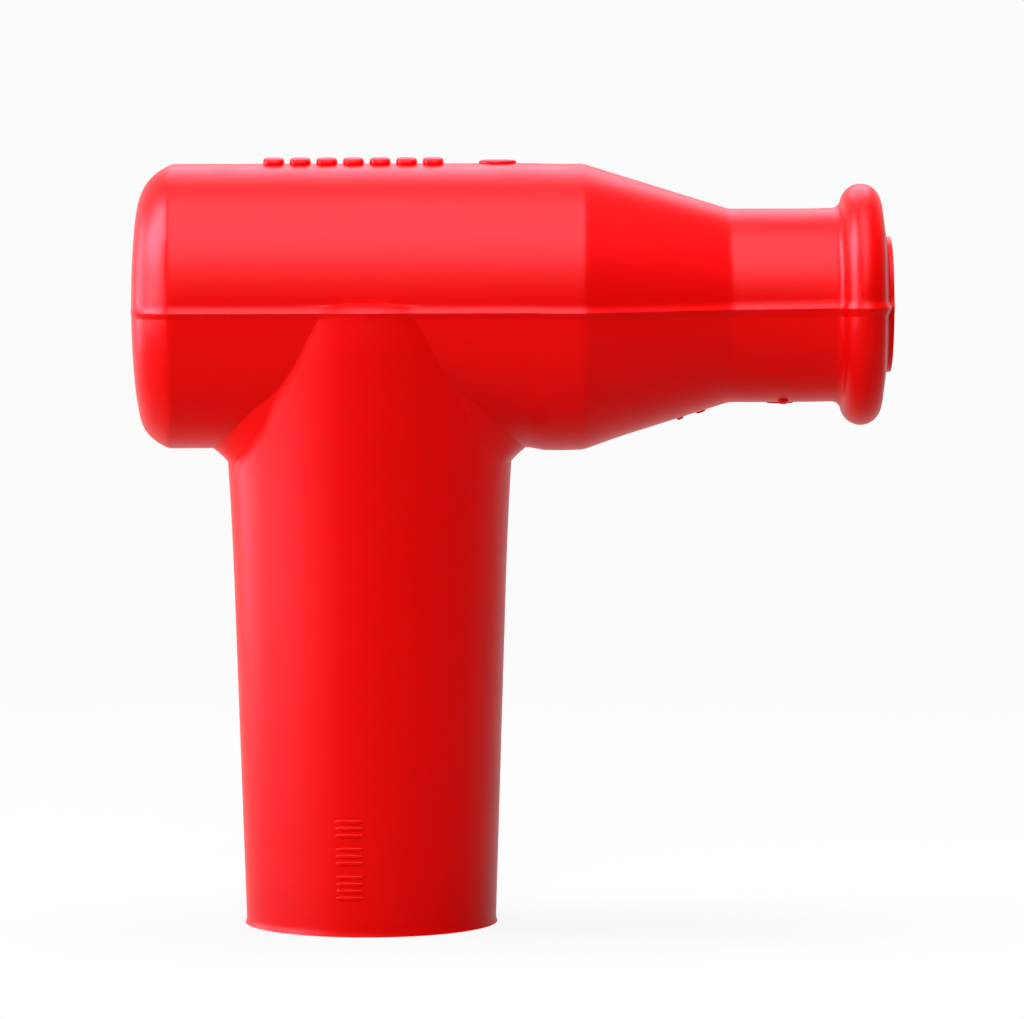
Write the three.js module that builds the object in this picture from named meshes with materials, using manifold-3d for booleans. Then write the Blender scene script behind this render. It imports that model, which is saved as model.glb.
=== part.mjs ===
// A right-angle spark plug cap: a one-piece silicone boot, and inside it the rigid insulator
// with the cable screw, resistor, contact spring, plug terminal and its wire clip.
// Millimetres, +Z up. The origin is the centre of the plug socket's mouth, the leg stands up
// from it along +Z, and the cable enters the barrel along -X, so its mouth faces +X.

import * as THREE from 'three';
import { mergeVertices } from 'three/addons/utils/BufferGeometryUtils.js';
import Module from 'manifold-3d';

const wasm = await Module();
wasm.setup();

// Boot, outside: the leg over the plug
const legHeight = 49.45; // mouth to the barrel's axis, where the mould parts
const legMouthRadius = 10;
const legDraft = 0.032; // gain in radius for each millimetre up
const legFlareStart = 27.2; // height where the draft opens into the flare
const legFlareRadius = 320; // of the flare's long arc, seen from the side

// Boot, outside: the barrel round the elbow
const barrelRadius = 11.35;
const barrelBack = 18.9; // leg's axis to the closed end
const endRoundLength = 5;
const endFullness = 3.6; // 2 makes the closed end an ellipse, more makes it squarer
const barrelFront = 17.1; // leg's axis to the start of the taper
const taperLength = 11.6;
const neckRadius = 7.7;
const neckLength = 10.54; // taper's end to the middle of the bead

// Boot, outside: the pull bead and the thin lip round the cable's mouth
const beadRadius = 9.64;
const beadCrestRadius = 1.6;
const beadFilletRadius = 0.8;
const mouthFaceRise = 0.45; // how far the face round the mouth leans out, bead to lip
const lipRadius = 5.3;
const lipLength = 0.35;

// Boot, outside: where leg and barrel meet, and the line the mould leaves
const crotchFilletRadius = 1.6;
const crotchFilletFull = 38; // degrees up from the crotch to which the fillet keeps its radius
const crotchFilletEnd = 57; // degrees up from the crotch at which it has run out
const partingRidgeProud = 0.26;
const partingRidgeHeight = 0.7;
const partingRidgeEndProud = 0.06; // where it crosses the closed end

// Boot, outside: the row of raised bars along the crown, and the low pad beyond it
const crownBars = { count: 7, start: -8.4, pitch: 2.12, length: 1.68, width: 3.4, height: 0.5 };
const crownPad = { start: 8.8, length: 3, width: 2.6, height: 0.3 };

// Boot, inside
const socketRadius = 5.15; // grips the plug's porcelain
const socketLeadIn = 0.75;
const socketLeadInLength = 1.5;
const socketRibs = { count: 3, first: 4.2, pitch: 3, width: 1.3, height: 0.35 };
const cableRadius = 3.4; // grips a 7 mm ignition lead
const cableLeadInRadius = 4.7;
const cableLeadInLength = 2;
const cableRibs = { count: 3, first: 4, pitch: 2.6, width: 1.2, height: 0.25 };

// Clearances
const seatClearance = 0.1; // between a piece and what holds it
const cupClearance = 0.06; // between the resistor's rod and its end cups

// Insulator: a stem in the leg and an arm in the barrel
const stemRadius = 5.6;
const armRadius = 6.2;
const armLength = 15.5; // leg's axis to the arm's open end

// Plug terminal and its clip
const nutBoreRadius = 3.25;
const nutBoreDepth = 9.5;
const terminalRadius = 4;
const terminalHang = 7; // how far it hangs below the insulator
const terminalThreadRadius = 3.6;
const terminalThreadLength = 5;
const terminalLeadIn = 0.25;
const driverSlotWidth = 1.2;
const driverSlotDepth = 1.3;
const clipWireRadius = 0.4;
const clipHeight = 3.5; // terminal's lower end to the clip's wire
const clipGrip = 5.4; // between the clip's two legs
const clipLegLength = 3.2; // past the terminal's axis, on the open side

// Resistor and contact spring
const resistorLength = 10.9;
const resistorRodRadius = 2.3;
const cupRadius = 2.6;
const cupDepth = 2.2;
const cupEndThickness = 0.35;
const springWireRadius = 0.26;
const springCoilRadius = 1.7;
const springTurns = 3.5;
const springLength = 3.4;

// Cable screw
const tongueReach = 2.4; // past the leg's axis, over the spring
const tongueWidth = 3.6;
const tongueThickness = 1.2;
const shankRadius = 1.6;
const shankStart = 3.2;
const anchorRadius = 2.4;
const anchorStart = 6.2;
const anchorLength = 5.6;
const anchorSides = 12;
const flangeRadius = 3;
const flangeThickness = 1.3;
const spikeLength = 13.5;
const spikeTipLength = 2.6;
const threadCrestRadius = 1.8;
const threadRootRadius = 1.2;
const threadPitch = 1.8;

// How finely round shapes are cut
const outsideSides = 48;
const boreSides = 32;
const wireSides = 7;

// Heights and stations that several pieces share
const neckStart = barrelFront + taperLength;
const beadMiddle = neckStart + neckLength;
const lipStart = beadMiddle + beadCrestRadius + mouthFaceRise;
const mouthEnd = lipStart + lipLength;
const tongueUnderside = legHeight - tongueThickness / 2;
const springFoot = tongueUnderside - seatClearance - springLength;
const resistorFoot = springFoot - seatClearance - resistorLength;
const terminalTop = resistorFoot - seatClearance;
const socketDepth = terminalTop - terminalThreadLength; // the contacts stack down to it
const stemFoot = socketDepth + seatClearance;
const terminalFoot = socketDepth - terminalHang;

// The leg's outer radius at a height: a straight draft, and above its start a flare that grows
// with the square of the height, as a very long arc does.
function legRadius(height) {
  const flared = Math.max(0, height - legFlareStart);
  return legMouthRadius + legDraft * height + (flared * flared) / (2 * legFlareRadius);
}

// A closed geometry as a solid that can be joined and cut.
function toSolid(geometry) {
  const bare = new THREE.BufferGeometry();
  bare.setAttribute('position', geometry.getAttribute('position').clone());
  bare.setIndex(geometry.getIndex());
  const welded = mergeVertices(bare, 1e-4);
  const corners = Array.from(welded.index.array);
  const faces = [];
  for (let i = 0; i < corners.length; i += 3) {
    const [a, b, c] = corners.slice(i, i + 3);
    if (a !== b && b !== c && c !== a) faces.push(a, b, c);
  }
  const vertProperties = welded.getAttribute('position').array;
  return new wasm.Manifold(
    new wasm.Mesh({ numProp: 3, vertProperties, triVerts: new Uint32Array(faces) }),
  );
}

// A solid as a geometry with flat-shaded faces.
function toGeometry(solid) {
  const mesh = solid.getMesh();
  const geometry = new THREE.BufferGeometry();
  geometry.setAttribute('position', new THREE.BufferAttribute(mesh.vertProperties, 3));
  geometry.setIndex(new THREE.BufferAttribute(mesh.triVerts, 1));
  const flat = geometry.toNonIndexed();
  flat.computeVertexNormals();
  return flat;
}

// A profile of [radius, height] points turned round the Z axis. It runs upwards, from axis to axis.
function turned(profile, sides) {
  const points = profile.map(([radius, height]) => new THREE.Vector2(radius, height));
  return new THREE.LatheGeometry(points, sides).rotateX(Math.PI / 2);
}

// The same, turned round the barrel's axis, with heights read as places along X.
function turnedOnBarrel(profile, sides) {
  return turned(profile, sides).rotateY(Math.PI / 2).translate(0, 0, legHeight);
}

// Points on an arc of a profile, both ends included, with angles from the radius axis.
function arc(centreRadius, centreHeight, radius, from, to, steps) {
  const points = [];
  for (let i = 0; i <= steps; i++) {
    const angle = from + ((to - from) * i) / steps;
    points.push([centreRadius + radius * Math.cos(angle), centreHeight + radius * Math.sin(angle)]);
  }
  return points;
}

// The outline of sealing ribs that stand in from a bore's wall, in order of rising height.
function ribOutline(boreRadius, ribs, firstMiddle) {
  const points = [];
  for (let i = 0; i < ribs.count; i++) {
    const middle = firstMiddle + i * ribs.pitch;
    points.push(
      [boreRadius, middle - ribs.width / 2],
      [boreRadius - ribs.height, middle],
      [boreRadius, middle + ribs.width / 2],
    );
  }
  return points;
}

// A closed tube through a row of like-numbered cross-sections, its two ends filled.
function loft(sections) {
  const width = sections[0].length;
  const positions = sections.flat().flatMap((point) => point.toArray());
  const faces = [];
  for (let row = 0; row + 1 < sections.length; row++) {
    for (let k = 0; k < width; k++) {
      const here = row * width + k;
      const next = row * width + ((k + 1) % width);
      faces.push(here, next, here + width, next, next + width, here + width);
    }
  }
  const last = (sections.length - 1) * width;
  for (let k = 1; k + 1 < width; k++) {
    faces.push(0, k + 1, k, last, last + k, last + k + 1);
  }
  const geometry = new THREE.BufferGeometry();
  geometry.setAttribute('position', new THREE.Float32BufferAttribute(positions, 3));
  geometry.setIndex(faces);
  return geometry;
}

// A round wire along a path.
function wire(path, radius, steps) {
  const section = new THREE.Shape();
  for (let k = 0; k < wireSides; k++) {
    const angle = (2 * Math.PI * k) / wireSides;
    const [x, y] = [radius * Math.cos(angle), radius * Math.sin(angle)];
    if (k === 0) section.moveTo(x, y);
    else section.lineTo(x, y);
  }
  section.closePath();
  return new THREE.ExtrudeGeometry(section, { steps, extrudePath: path, bevelEnabled: false });
}

// A box given by its lowest and highest corners.
function block(low, high) {
  const size = high.map((value, k) => value - low[k]);
  const middle = high.map((value, k) => (value + low[k]) / 2);
  return new THREE.BoxGeometry(...size).translate(...middle);
}

// The barrel's outside as [radius, place along X], from the closed end to the cable's mouth.
// The closed end is a superellipse; a fillet leads from the neck to the bead's round crest.
function barrelOutline() {
  const endSteps = 8;
  const outline = [];
  for (let i = 0; i <= endSteps; i++) {
    const angle = (Math.PI / 2) * (i / endSteps);
    const across = Math.sin(angle) ** (2 / endFullness);
    const along = 1 - Math.max(0, Math.cos(angle)) ** (2 / endFullness);
    outline.push([barrelRadius * across, -barrelBack + endRoundLength * along]);
  }
  outline.push([barrelRadius, barrelFront], [neckRadius, neckStart]);

  const crestCentre = beadRadius - beadCrestRadius;
  const filletCentre = neckRadius + beadFilletRadius;
  const reach = beadCrestRadius + beadFilletRadius;
  const filletPlace = beadMiddle - Math.sqrt(reach ** 2 - (crestCentre - filletCentre) ** 2);
  const meeting = Math.atan2(beadMiddle - filletPlace, crestCentre - filletCentre);
  outline.push(
    ...arc(filletCentre, filletPlace, beadFilletRadius, Math.PI, meeting, 4),
    ...arc(crestCentre, beadMiddle, beadCrestRadius, meeting - Math.PI, Math.PI / 2, 9).slice(1),
  );
  outline.push([lipRadius, lipStart], [lipRadius, mouthEnd]);
  return outline;
}

// The leg's outside, cut off flat where the mould parts.
function legOutline() {
  const flareSteps = 6;
  const outline = [[0, 0], [legMouthRadius, 0]];
  for (let i = 0; i <= flareSteps; i++) {
    const height = legFlareStart + ((legHeight - legFlareStart) * i) / flareSteps;
    outline.push([legRadius(height), height]);
  }
  outline.push([0, legHeight]);
  return outline;
}

// The fillet in one crotch, side -1 at the closed end and +1 at the neck. A ball that rolls in
// the crotch touches leg and barrel at once, and each section is the gap under that ball,
// closed by an anchor inside the rubber. The ball shrinks as it climbs, so the fillet runs out
// on both sides of the leg, and the joint goes on from there as a plain corner.
function crotchFillet(side) {
  const stations = 22;
  const arcSteps = 5;
  const anchorDepth = 1;
  const smallestBall = 0.1;
  const legReach = legRadius(legHeight) / barrelRadius;
  const lastTurn = Math.min(THREE.MathUtils.degToRad(crotchFilletEnd), Math.asin(Math.min(1, legReach)));
  const fullTurn = THREE.MathUtils.degToRad(crotchFilletFull);
  const sections = [];
  for (let i = 0; i <= stations; i++) {
    const turn = lastTurn * ((2 * i) / stations - 1);
    const left = Math.min(1, (lastTurn - Math.abs(turn)) / (lastTurn - fullTurn));
    const ball = smallestBall + (crotchFilletRadius - smallestBall) * left;
    const fromBarrel = new THREE.Vector3(0, Math.sin(turn), -Math.cos(turn));
    const centre = fromBarrel.clone().multiplyScalar(barrelRadius + ball);
    centre.z += legHeight;
    const legThere = legRadius(centre.z);
    const slope = legRadius(centre.z + 0.5) - legRadius(centre.z - 0.5);
    centre.x = side * Math.sqrt(Math.max(0, (legThere + ball) ** 2 - centre.y ** 2));
    const fromLeg = new THREE.Vector3(centre.x, centre.y, -slope * (legThere + ball)).normalize();

    const between = fromLeg.angleTo(fromBarrel);
    const section = [];
    for (let k = 0; k <= arcSteps; k++) {
      const share = k / arcSteps;
      const direction = fromLeg
        .clone()
        .multiplyScalar(Math.sin((1 - share) * between))
        .addScaledVector(fromBarrel, Math.sin(share * between))
        .normalize();
      section.push(centre.clone().addScaledVector(direction, -ball));
    }
    const inward = fromLeg.clone().add(fromBarrel);
    section.push(centre.clone().addScaledVector(inward, -(ball + anchorDepth) / (1 + Math.cos(between))));
    sections.push(side > 0 ? section.reverse() : section);
  }
  return loft(sections);
}

// The ridge that the mould's parting line leaves: the plan outline of barrel and leg, a little
// proud of both, as a thin slab.
function partingRidge() {
  const outline = barrelOutline().map(([radius, along]) => new THREE.Vector2(along, radius));
  const edge = outline.map((point, k) => {
    const before = outline[Math.max(0, k - 1)];
    const after = outline[Math.min(outline.length - 1, k + 1)];
    const along = after.clone().sub(before).normalize();
    const outward = k === 0 ? new THREE.Vector2(-1, 0) : new THREE.Vector2(-along.y, along.x);
    const proud = point.clone().addScaledVector(outward, partingRidgeProud);
    const furthestBack = -barrelBack - partingRidgeEndProud;
    return new THREE.Vector2(Math.max(furthestBack, Math.min(proud.x, mouthEnd)), proud.y);
  });
  const mirrored = edge.slice(1).reverse().map((point) => new THREE.Vector2(point.x, -point.y));
  const plan = new THREE.Shape([...edge, ...mirrored]);
  const lowest = legHeight - partingRidgeHeight / 2;
  const slab = new THREE.ExtrudeGeometry(plan, { depth: partingRidgeHeight, bevelEnabled: false });
  const discRadius = legRadius(legHeight) + partingRidgeProud;
  const disc = turned(
    [[0, lowest], [discRadius, lowest], [discRadius, lowest + partingRidgeHeight], [0, lowest + partingRidgeHeight]],
    outsideSides,
  );
  return toSolid(slab.translate(0, 0, lowest)).add(toSolid(disc));
}

// A patch of rubber that stands evenly proud of the crown, from one place along X to another.
function crownPatch(start, { length, width, height }) {
  const proud = barrelRadius + height;
  const ring = turnedOnBarrel(
    [[0, start], [proud, start], [proud, start + length], [0, start + length]],
    outsideSides,
  );
  const stencil = block(
    [start - 1, -width / 2, legHeight + barrelRadius / 2],
    [start + length + 1, width / 2, legHeight + proud + 1],
  );
  return toSolid(ring).intersect(toSolid(stencil));
}

// The hollow in the leg: lead-in, ribbed socket for the porcelain, and the stem's seat.
function legHollow() {
  const seatRadius = stemRadius + seatClearance;
  const overrun = 1;
  return turned(
    [
      [0, -overrun],
      [socketRadius + socketLeadIn, -overrun],
      [socketRadius + socketLeadIn, 0],
      [socketRadius, socketLeadInLength],
      ...ribOutline(socketRadius, socketRibs, socketRibs.first),
      [socketRadius, socketDepth],
      [seatRadius, socketDepth],
      [seatRadius, legHeight],
      [0, legHeight],
    ],
    boreSides,
  );
}

// The hollow in the barrel: the arm's seat with its domed end, and the ribbed cable bore.
function barrelHollow() {
  const seatRadius = armRadius + seatClearance;
  const overrun = 1;
  const lastRib = mouthEnd - cableRibs.first;
  const firstRib = lastRib - (cableRibs.count - 1) * cableRibs.pitch;
  return turnedOnBarrel(
    [
      ...arc(0, 0, seatRadius, -Math.PI / 2, 0, 6),
      [seatRadius, armLength + seatClearance],
      [cableRadius, armLength + seatClearance],
      ...ribOutline(cableRadius, cableRibs, firstRib),
      [cableRadius, mouthEnd - cableLeadInLength],
      [cableLeadInRadius, mouthEnd],
      [cableLeadInRadius, mouthEnd + overrun],
      [0, mouthEnd + overrun],
    ],
    boreSides,
  );
}

function buildBoot() {
  const barrel = turnedOnBarrel([...barrelOutline(), [0, mouthEnd]], outsideSides);
  let outside = toSolid(barrel)
    .add(toSolid(turned(legOutline(), outsideSides)))
    .add(toSolid(crotchFillet(-1)))
    .add(toSolid(crotchFillet(1)))
    .add(partingRidge())
    .add(crownPatch(crownPad.start, crownPad));
  for (let i = 0; i < crownBars.count; i++) {
    outside = outside.add(crownPatch(crownBars.start + i * crownBars.pitch, crownBars));
  }
  return toGeometry(outside.subtract(toSolid(legHollow())).subtract(toSolid(barrelHollow())));
}

// The cable screw along +Z, before it is laid along the barrel: a flat tongue over the spring,
// a shank with a faceted anchor held in the insulator, and a flange. `grow` is added all round,
// which makes the hollow that the insulator leaves for it.
function screwBody(grow) {
  const flangeFoot = armLength - seatClearance - flangeThickness;
  const tongue = block(
    [-tongueThickness / 2 - grow, -tongueWidth / 2 - grow, -tongueReach - grow],
    [tongueThickness / 2 + grow, tongueWidth / 2 + grow, shankStart + grow],
  );
  const shank = turned(
    [
      [0, shankStart - 1],
      [shankRadius + grow, shankStart - 1],
      [shankRadius + grow, flangeFoot - grow],
      [flangeRadius + grow, flangeFoot - grow],
      [flangeRadius + grow, armLength - seatClearance + (grow ? 1 : 0)],
      [0, armLength - seatClearance + (grow ? 1 : 0)],
    ],
    boreSides,
  );
  const anchor = turned(
    [
      [0, anchorStart - grow],
      [anchorRadius + grow, anchorStart - grow],
      [anchorRadius + grow, anchorStart + anchorLength + grow],
      [0, anchorStart + anchorLength + grow],
    ],
    anchorSides,
  );
  return toSolid(tongue).add(toSolid(shank)).add(toSolid(anchor));
}

// The spike that bites into the lead's strands. Its radius rises and falls once each pitch, and
// the rise turns with the angle, so the crest is one continuous thread that fades into the tip.
function spike() {
  const sides = 12;
  const stepsPerPitch = 4;
  const foot = armLength - seatClearance - flangeThickness / 2;
  const tip = armLength - seatClearance + spikeLength;
  const steps = Math.round(((tip - foot) / threadPitch) * stepsPerPitch);
  const sections = [];
  for (let i = 0; i <= steps; i++) {
    const height = foot + ((tip - foot) * i) / steps;
    const taper = Math.max(0.1, Math.min(1, (tip - height) / spikeTipLength));
    const section = [];
    for (let k = 0; k < sides; k++) {
      const angle = (2 * Math.PI * k) / sides;
      const phase = (height - foot) / threadPitch - k / sides;
      const crest = Math.abs(2 * (phase - Math.floor(phase)) - 1);
      const radius = taper * (threadRootRadius + (threadCrestRadius - threadRootRadius) * crest);
      section.push(new THREE.Vector3(radius * Math.cos(angle), radius * Math.sin(angle), height));
    }
    sections.push(section);
  }
  return loft(sections);
}

function buildCableScrew() {
  return toGeometry(screwBody(0).add(toSolid(spike())));
}

// The rigid insulator: stem and arm in one moulding, bored for everything that it carries.
function buildInsulator() {
  const stem = turned(
    [[0, stemFoot], [stemRadius, stemFoot], [stemRadius, legHeight], [0, legHeight]],
    boreSides,
  );
  const arm = turnedOnBarrel(
    [...arc(0, 0, armRadius, -Math.PI / 2, 0, 6), [armRadius, armLength], [0, armLength]],
    boreSides,
  );
  const threadBoreRadius = terminalThreadRadius + seatClearance;
  const resistorBoreRadius = cupRadius + seatClearance;
  const threadBoreTop = terminalTop + seatClearance / 2;
  const bore = turned(
    [
      [0, stemFoot - 1],
      [threadBoreRadius, stemFoot - 1],
      [threadBoreRadius, threadBoreTop],
      [resistorBoreRadius, threadBoreTop],
      [resistorBoreRadius, tongueUnderside],
      [0, tongueUnderside],
    ],
    boreSides,
  );
  const screwHollow = screwBody(seatClearance).rotate([0, 90, 0]).translate([0, 0, legHeight]);
  return toGeometry(toSolid(stem).add(toSolid(arm)).subtract(toSolid(bore)).subtract(screwHollow));
}

// The brass terminal, from its own foot upwards: nut bore, driver slot, and a saw cut on each
// side that lets the clip's legs reach into the bore.
function buildPlugTerminal() {
  const top = terminalTop - terminalFoot;
  const body = turned(
    [
      [0, 0],
      [terminalRadius - terminalLeadIn, 0],
      [terminalRadius, terminalLeadIn],
      [terminalRadius, terminalHang],
      [terminalThreadRadius, terminalHang],
      [terminalThreadRadius, top],
      [0, top],
    ],
    boreSides,
  );
  const bore = turned(
    [
      [0, -1],
      [nutBoreRadius + terminalLeadIn, -1],
      [nutBoreRadius + terminalLeadIn, 0],
      [nutBoreRadius, terminalLeadIn],
      [nutBoreRadius, nutBoreDepth],
      [0, nutBoreDepth],
    ],
    boreSides,
  );
  const reach = terminalRadius + 1;
  const driverSlot = block([-driverSlotWidth / 2, -reach, -1], [driverSlotWidth / 2, reach, driverSlotDepth]);
  const cutHalf = clipWireRadius + seatClearance;
  const cutFloor = clipGrip / 2 - seatClearance;
  let terminal = toSolid(body).subtract(toSolid(bore)).subtract(toSolid(driverSlot));
  for (const side of [-1, 1]) {
    const near = Math.min(side * cutFloor, side * reach);
    const far = Math.max(side * cutFloor, side * reach);
    terminal = terminal.subtract(
      toSolid(block([-reach, near, clipHeight - cutHalf], [reach, far, clipHeight + cutHalf])),
    );
  }
  return toGeometry(terminal);
}

// The wire clip, at its own height: two straight legs through the saw cuts, joined by a bow that
// runs round the outside of the terminal.
function buildTerminalClip() {
  const legPlace = clipGrip / 2 + clipWireRadius;
  const bowRadius = terminalRadius + clipWireRadius + seatClearance;
  const bowEnd = Math.asin(legPlace / bowRadius);
  const points = [];
  for (const along of [-clipLegLength, -clipLegLength / 3, clipLegLength / 3]) {
    points.push(new THREE.Vector3(along, legPlace, 0));
  }
  for (let i = 0; i <= 6; i++) {
    const angle = bowEnd * (1 - i / 3);
    points.push(new THREE.Vector3(bowRadius * Math.cos(angle), bowRadius * Math.sin(angle), 0));
  }
  for (const along of [clipLegLength / 3, -clipLegLength / 3, -clipLegLength]) {
    points.push(new THREE.Vector3(along, -legPlace, 0));
  }
  return wire(new THREE.CatmullRomCurve3(points, false, 'centripetal'), clipWireRadius, 32);
}

// The resistor's ceramic rod, its own middle at the origin.
function buildResistorRod() {
  const half = resistorLength / 2 - cupEndThickness - cupClearance;
  return turned(
    [[0, -half], [resistorRodRadius, -half], [resistorRodRadius, half], [0, half]],
    boreSides,
  );
}

// A pressed metal cup on one end of the rod, its closed end at the origin and its mouth up.
function buildResistorCup() {
  const inside = resistorRodRadius + cupClearance;
  return turned(
    [[0, 0], [cupRadius, 0], [cupRadius, cupDepth], [inside, cupDepth], [inside, cupEndThickness], [0, cupEndThickness]],
    boreSides,
  );
}

// The helical spring's centre line, from its own foot upwards.
class Helix extends THREE.Curve {
  constructor(radius, turns, foot, top) {
    super();
    Object.assign(this, { radius, turns, foot, top });
  }

  getPoint(share, target = new THREE.Vector3()) {
    const angle = 2 * Math.PI * this.turns * share;
    const height = this.foot + (this.top - this.foot) * share;
    return target.set(this.radius * Math.cos(angle), this.radius * Math.sin(angle), height);
  }
}

function buildContactSpring() {
  const margin = springWireRadius * 1.1;
  const path = new Helix(springCoilRadius, springTurns, margin, springLength - margin);
  return wire(path, springWireRadius, Math.round(springTurns * 12));
}

const silicone = new THREE.MeshStandardMaterial({ color: 0xe30b08, roughness: 0.42, metalness: 0 });
const phenolic = new THREE.MeshStandardMaterial({ color: 0x241f1d, roughness: 0.5, metalness: 0 });
const brass = new THREE.MeshStandardMaterial({ color: 0xc49a4a, roughness: 0.32, metalness: 1 });
const springSteel = new THREE.MeshStandardMaterial({ color: 0xb4b6ba, roughness: 0.3, metalness: 1 });
const platedSteel = new THREE.MeshStandardMaterial({ color: 0xc8c9cb, roughness: 0.25, metalness: 1 });
const ceramic = new THREE.MeshStandardMaterial({ color: 0xded6c6, roughness: 0.6, metalness: 0 });

function piece(name, geometry, material) {
  const mesh = new THREE.Mesh(geometry, material);
  mesh.name = name;
  return mesh;
}

const cap = new THREE.Group();
cap.add(piece('boot', buildBoot(), silicone));
cap.add(piece('insulator', buildInsulator(), phenolic));

const cableScrew = piece('cable_screw', buildCableScrew(), brass);
cableScrew.position.z = legHeight;
cableScrew.rotation.y = Math.PI / 2;
cap.add(cableScrew);

const terminal = new THREE.Group();
terminal.position.z = terminalFoot;
const clip = piece('terminal_clip', buildTerminalClip(), springSteel);
clip.position.z = clipHeight;
terminal.add(piece('plug_terminal', buildPlugTerminal(), brass), clip);
cap.add(terminal);

const resistor = new THREE.Group();
resistor.position.z = resistorFoot;
const rod = piece('resistor_rod', buildResistorRod(), ceramic);
rod.position.z = resistorLength / 2;
const upperCup = piece('resistor_cup_upper', buildResistorCup(), platedSteel);
upperCup.position.z = resistorLength;
upperCup.rotation.x = Math.PI;
resistor.add(rod, piece('resistor_cup_lower', buildResistorCup(), platedSteel), upperCup);
cap.add(resistor);

const spring = piece('contact_spring', buildContactSpring(), springSteel);
spring.position.z = springFoot;
cap.add(spring);

export default cap;
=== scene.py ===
# %% [markdown]
# # A right-angle spark plug cap
# The cap is one red silicone moulding, the boot, with its contacts inside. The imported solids
# give the place and the size of every piece. This file dresses them: it works out a smooth
# boot and finer metal parts as numpy surfaces, gives each its finish, and sets up the studio.

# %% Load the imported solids
import math

import bmesh
import bpy
import numpy as np
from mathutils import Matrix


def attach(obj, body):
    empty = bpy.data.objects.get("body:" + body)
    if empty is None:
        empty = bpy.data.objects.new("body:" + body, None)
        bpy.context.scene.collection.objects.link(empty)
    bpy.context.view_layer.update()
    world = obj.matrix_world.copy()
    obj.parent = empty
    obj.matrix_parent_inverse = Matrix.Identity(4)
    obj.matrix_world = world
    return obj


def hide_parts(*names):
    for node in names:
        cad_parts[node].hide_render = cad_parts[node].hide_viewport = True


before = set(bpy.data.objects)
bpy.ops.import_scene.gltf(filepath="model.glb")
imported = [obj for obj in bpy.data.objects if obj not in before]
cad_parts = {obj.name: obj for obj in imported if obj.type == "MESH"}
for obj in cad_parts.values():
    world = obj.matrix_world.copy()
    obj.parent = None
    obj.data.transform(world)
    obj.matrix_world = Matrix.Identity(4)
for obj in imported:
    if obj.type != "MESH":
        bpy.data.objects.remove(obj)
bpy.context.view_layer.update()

MM = 0.001  # the solids are in metres, and this file thinks in millimetres
print("nodes:", ", ".join(sorted(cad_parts)))

# %% [markdown]
# ## Surfaces as grids
# Every new piece is a set of grids: a function of two parameters gives a block of points, and
# neighbouring points make a quad. Blocks that share an edge compute it with the same formula,
# so merging points that coincide closes the skin without a gap.

# %% Grid and mesh helpers
MERGE = 1e-4  # millimetres within which two points are one


class Skin:
    """Collects point grids and turns them into one closed mesh."""

    def __init__(self):
        self.points, self.quads, self.count = [], [], 0

    def grid(self, points, wrap=False):
        """Add an (n, m, 3) block, wrapped round in m if asked. Quads run (i, j) to (i+1, j+1)."""
        n, m = points.shape[:2]
        index = self.count + np.arange(n * m).reshape(n, m)
        if wrap:
            index = np.concatenate([index, index[:, :1]], axis=1)
        block = np.stack([index[:-1, :-1], index[:-1, 1:], index[1:, 1:], index[1:, :-1]], axis=-1)
        self.points.append(points.reshape(-1, 3))
        self.quads.append(block.reshape(-1, 4))
        self.count += n * m

    def build(self, name, finish, sharp=35):
        """Merge coinciding points, turn the faces outwards and return the finished object.
        Edges that turn by more than sharp degrees stay crisp in the shading."""
        points = np.concatenate(self.points) * MM
        quads = np.concatenate(self.quads)
        mesh = bpy.data.meshes.new(name)
        mesh.vertices.add(len(points))
        mesh.vertices.foreach_set("co", points.astype(np.float32).ravel())
        mesh.loops.add(quads.size)
        mesh.loops.foreach_set("vertex_index", quads.ravel())
        mesh.polygons.add(len(quads))
        mesh.polygons.foreach_set("loop_start", np.arange(0, quads.size, 4))
        mesh.update(calc_edges=True)
        shape = bmesh.new()
        shape.from_mesh(mesh)
        bmesh.ops.remove_doubles(shape, verts=shape.verts, dist=MERGE * MM)
        bmesh.ops.dissolve_degenerate(shape, edges=shape.edges, dist=MERGE * MM)
        bmesh.ops.recalc_face_normals(shape, faces=shape.faces)
        loose = sum(not edge.is_manifold for edge in shape.edges)
        volume = shape.calc_volume(signed=True) / MM**3
        shape.to_mesh(mesh)
        shape.free()
        mesh.polygons.foreach_set("use_smooth", np.ones(len(mesh.polygons), bool))
        mesh.set_sharp_from_angle(angle=math.radians(sharp))
        mesh.materials.append(finish)
        piece = bpy.data.objects.new(name, mesh)
        bpy.context.scene.collection.objects.link(piece)
        print(f"{name}: {len(mesh.polygons)} faces, {loose} open edges, {volume:.1f} mm3")
        return piece


def xyz(x, y, z):
    """Stack three broadcastable coordinate arrays into points."""
    return np.stack(np.broadcast_arrays(x, y, z), axis=-1).astype(float)


def smooth_step(value):
    """0 below 0, 1 above 1, and 3t^2 - 2t^3 between."""
    t = np.clip(value, 0.0, 1.0)
    return t * t * (3.0 - 2.0 * t)


def unit(vectors):
    """Vectors divided by their own lengths."""
    return vectors / np.linalg.norm(vectors, axis=-1, keepdims=True)


def signed_power(value, exponent):
    """The size of value raised to exponent, with value's sign."""
    return np.sign(value) * np.abs(value) ** exponent


def full_circle(steps):
    """Angles once round, without the last that equals the first."""
    return np.linspace(0, 2 * math.pi, steps, endpoint=False)


# %% [markdown]
# ## Shader maths as Python
# A material reads better when its sums are written as sums. A `Wire` wraps one socket, and
# `+ - *` on it add Math nodes, so `1 - mask` works as it looks. Any other node comes from
# `Tree.node`, which takes its type, its settings and what goes into its sockets.

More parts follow.
